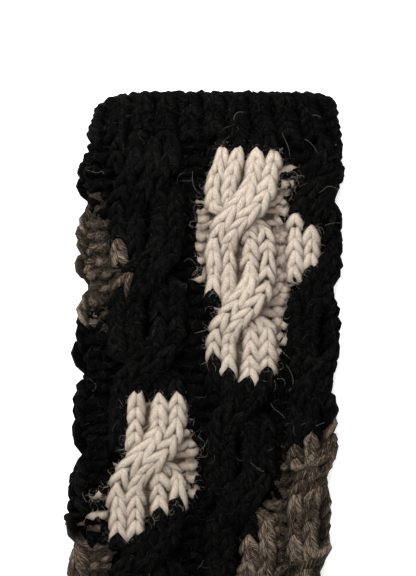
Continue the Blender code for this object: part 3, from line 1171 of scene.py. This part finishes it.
lines = knitTube()
edgeRandom = np.random.default_rng(edge["seed"])
windEdge(lines["upper_rib"], 0.0, 1, edgeRandom)
windEdge(lines["hand_rib"], garment["length"], -1, edgeRandom)
pieces = {}
for name, yarnLines in lines.items():
    firstWord = name.split("_")[0]
    woolName = firstWord if firstWord in woolNames else "black"
    pieces[name] = applyTree(yarnLines.toObject(name), yarnTree, Material=wools[woolName])
    pieces[name]["wool"] = woolName
    print("knitted", name, len(pieces[name].data.polygons), "faces")

fibreTree = makeFibreTree()


def makeFibreMaterial(name, colour, tint):
    material, tree, shader = newMaterial(name, Base_Color=colour, Roughness=fuzz["roughness"],
                                         Specular_IOR_Level=fuzz["gloss"])
    coords = tree.nodes.new("ShaderNodeTexCoord").outputs["Object"]
    noise = addNode(tree, "ShaderNodeTexNoise", Vector=coords, Scale=fuzz["tintScale"])
    setInputs(tree, shader, {"Base Color": mixColours(tree, noise.outputs["Fac"], colour, tint)})
    return material


def growFibres(woolName, seed):
    name = woolName + "_fibres"
    joined = bmesh.new()
    for source in pieces.values():
        if source["wool"] == woolName:
            joined.from_mesh(source.data)
    mesh = bpy.data.meshes.new(name)
    joined.to_mesh(mesh)
    joined.free()
    area = sum(face.area for face in mesh.polygons)
    piece = placeObject(name, mesh)
    kind = fuzz[woolName]
    material = makeFibreMaterial(woolName + "_fibre", kind["colour"], kind["tint"])
    applyTree(piece, fibreTree, Density=kind["total"] / area, FibreLength=kind["length"], Seed=seed,
              Material=material)
    piece["wool"] = woolName
    print("fibres on", woolName, len(piece.data.polygons), "faces")
    return piece


# hairs that lie loose on the cloth: long ones drawn like the patches, then shorter ones at random
# over the black and, paler, along the outlines of the cream patches. Steps are the corners of a hair,
# widths are shares of the hairs' radius
strays = {
    "drawn": (
        ((22.6, 10), (18.8, 9.9), (17.3, 12.8), (18.1, 15.8), (20.3, 18.1)),
        ((39.2, 18.9), (40.7, 22.6), (42.2, 25.7), (43, 30.9)),
        ((52.8, 11.3), (55.1, 11), (57.3, 12.4)),
        ((49, 21.9), (52.8, 24.1), (55.8, 29.4)),
        ((-1, 36.2), (-1.4, 42.1), (0.7, 46.1), (3, 47.6)),
        ((53.4, 47.6), (57.3, 46.1), (60.2, 43), (63.4, 46.1), (61.9, 51.2)),
        ((57.9, 61.9), (61.9, 59.6), (64.8, 61.9), (62.5, 65.7)),
        ((40.7, 123.6), (43.7, 128.2), (44.5, 132.7), (42.2, 136.6)),
        ((46.7, 135.8), (47.2, 132)),
        ((24, 167.5), (29.4, 172.1), (31.7, 172.8), (27.8, 170)),
        ((33.9, 141.1), (35.3, 144), (38.4, 145.7), (41.4, 149.4)),
        ((44.3, 140.4), (46.1, 137.2)),
        ((-48, 36), (-44.5, 38.2), (-42, 36.4), (-40.8, 39)),
        ((58, 150), (54, 152.5), (50.5, 150), (47, 152)),
    ),
    "drawnSteps": 9,
    "drawnWidth": 1.5,
    "darkCount": 90,
    "darkSteps": 16,
    "darkWidths": (0.5, 0.9),
    "darkAlong": (-0.06, 0.066),
    "darkDown": (0.006, 0.334),
    "paleCount": 300,
    "paleSteps": 14,
    "paleWidths": (0.5, 1.0),
    "step": 0.0006,
    "radius": 0.000038,
    "sides": 3,
    "curl": 0.16,
    "curlKept": 0.94,
    "curlChange": 0.10,
    "height": 0.0024,
    "heightShares": (0.1, 0.6),
    "wave": 0.0006,
    "waveTurns": (3, 9),
    "endMargin": 0.003,
    "taperStart": 0.25,
    "taperEnd": 0.1,
    "seed": 23,
    "colours": {
        "black": ((0.05, 0.045, 0.04, 1), (0.26, 0.24, 0.21, 1)),
        "cream": ((0.20, 0.17, 0.14, 1), (0.42, 0.36, 0.30, 1)),
    },
}


def strayHair(lines, path, width, random):
    steps = len(path)
    margin = strays["endMargin"]
    down = np.clip(path[:, 1], margin, garment["length"] - margin)
    turns = random.uniform(*strays["waveTurns"])
    wave = strays["wave"] * np.sin(np.linspace(0, turns, steps))
    lift = strays["height"] * random.uniform(*strays["heightShares"])
    points = toFrame(path[:, 0], down, FlatTube(down).wall + lift + wave)
    taper = np.sin(np.linspace(strays["taperStart"], math.pi - strays["taperEnd"], steps)) ** 0.5
    nothing = np.zeros(steps)
    lines.add(points, taper * width, nothing, nothing, np.zeros((steps, 3)), False)


def drawnPath(corners):
    steps = strays["drawnSteps"]
    corners = np.array(corners) * mm
    places = np.linspace(0, len(corners) - 1, (len(corners) - 1) * steps + 1)
    path = np.stack([np.interp(places, range(len(corners)), column) for column in corners.T], axis=1)
    soft = np.ones(steps) / steps
    for axis in (0, 1):
        padded = np.pad(path[:, axis], steps // 2, mode="edge")
        path[:, axis] = np.convolve(padded, soft, mode="valid")
    return path


def wanderingPath(along, down, longest, random):
    heading = random.uniform(0, 2 * math.pi)
    curl = random.normal(0, strays["curl"])
    path = []
    for _ in range(int(random.integers(longest // 2, longest))):
        curl = strays["curlKept"] * curl + random.normal(0, strays["curlChange"])
        heading += curl
        along += strays["step"] * math.cos(heading)
        down += strays["step"] * math.sin(heading)
        path.append((along, down))
    return np.array(path)


def strayHairs():
    random = np.random.default_rng(strays["seed"])
    dark, pale = YarnLines(), YarnLines()
    for corners in strays["drawn"]:
        strayHair(dark, drawnPath(corners), strays["drawnWidth"], random)
    for _ in range(strays["darkCount"]):
        along, down = random.uniform(*strays["darkAlong"]), random.uniform(*strays["darkDown"])
        path = wanderingPath(along, down, strays["darkSteps"], random)
        strayHair(dark, path, random.uniform(*strays["darkWidths"]), random)
    for _ in range(strays["paleCount"]):
        outline = patches["cream"][int(random.integers(len(patches["cream"])))]
        corner = int(random.integers(len(outline)))
        share = random.uniform()
        (x0, y0), (x1, y1) = outline[corner - 1], outline[corner]
        along, down = (x0 + share * (x1 - x0)) * mm, (y0 + share * (y1 - y0)) * mm
        path = wanderingPath(along, down, strays["paleSteps"], random)
        strayHair(pale, path, random.uniform(*strays["paleWidths"]), random)
    return {"black": dark, "cream": pale}


fibrePieces = [growFibres(name, fuzz["firstSeed"] + index) for index, name in enumerate(woolNames)]
for woolName, hairLines in strayHairs().items():
    material = makeFibreMaterial(woolName + "_stray", *strays["colours"][woolName])
    hairs = applyTree(hairLines.toObject(woolName + "_hairs"), yarnTree, YarnRadius=strays["radius"],
                      Sides=strays["sides"], LumpDepth=0.0, Material=material)
    hairs["wool"] = woolName
    fibrePieces.append(hairs)
    print("stray hairs", len(hairs.data.polygons), "faces")

# the backing sheet, coloured with painted shade for the gaps between the loops
cloth = makeBacking("shade_backing_cloth")
cloth.data.materials.append(makeBackingShade("backing_wool"))
print("backing laid")

# declarations
for piece in [*pieces.values(), *fibrePieces]:
    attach(piece, "root")
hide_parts("upper_band")
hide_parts("cable_body")
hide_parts("hand_band")
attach(cloth, "root")
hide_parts("upper_band", "cable_body", "hand_band")

# table, light and camera
stage = {
    "floorSize": 6.0,
    "floorColour": (0.97, 0.97, 0.97, 1),
    "floorGlow": 0.45,
    "worldStrength": 0.90,
    "lampPower": 4.3,
    "lampSize": 0.5,
    "lampPlace": (-0.17, 0.33, 0.28),
    "lampAim": (0.0, 0.06, 0.0),
    "lens": 135.0,
    "sensor": 36.0,
    "frameHeight": 0.2608,
    "clothTop": 0.012,
    "viewX": 0.0011,
    "viewY": 0.08035,
}


def makeFloor():
    mesh = bpy.data.meshes.new("floor")
    half = stage["floorSize"] / 2
    corners = [(-half, -half, 0), (half, -half, 0), (half, half, 0), (-half, half, 0)]
    mesh.from_pydata(corners, [], [(0, 1, 2, 3)])
    material, _, _ = newMaterial("floor_paper", Base_Color=stage["floorColour"], Roughness=1.0,
                                 Specular_IOR_Level=0.0, Emission_Color=(1, 1, 1, 1),
                                 Emission_Strength=stage["floorGlow"])
    mesh.materials.append(material)
    placeObject("floor", mesh)


def makeLight():
    world = bpy.data.worlds.new("studio")
    world.use_nodes = True
    background = world.node_tree.nodes["Background"]
    background.inputs["Color"].default_value = (1, 1, 1, 1)
    background.inputs["Strength"].default_value = stage["worldStrength"]
    bpy.context.scene.world = world
    data = bpy.data.lights.new("softbox", "AREA")
    data.energy = stage["lampPower"]
    data.size = stage["lampSize"]
    lamp = placeObject("softbox", data)
    lamp.location = stage["lampPlace"]
    aim = lamp.location - Vector(stage["lampAim"])
    lamp.rotation_euler = aim.to_track_quat("Z", "Y").to_euler()


def makeCamera():
    data = bpy.data.cameras.new("camera")
    data.lens = stage["lens"]
    data.sensor_width = stage["sensor"]
    camera = placeObject("camera", data)
    distance = stage["frameHeight"] * stage["lens"] / stage["sensor"]
    camera.location = (stage["viewX"], stage["viewY"], distance + stage["clothTop"])
    bpy.context.scene.camera = camera


makeFloor()
makeLight()
makeCamera()
view = bpy.context.scene.view_settings
view.view_transform = "Standard"
print("stage set")
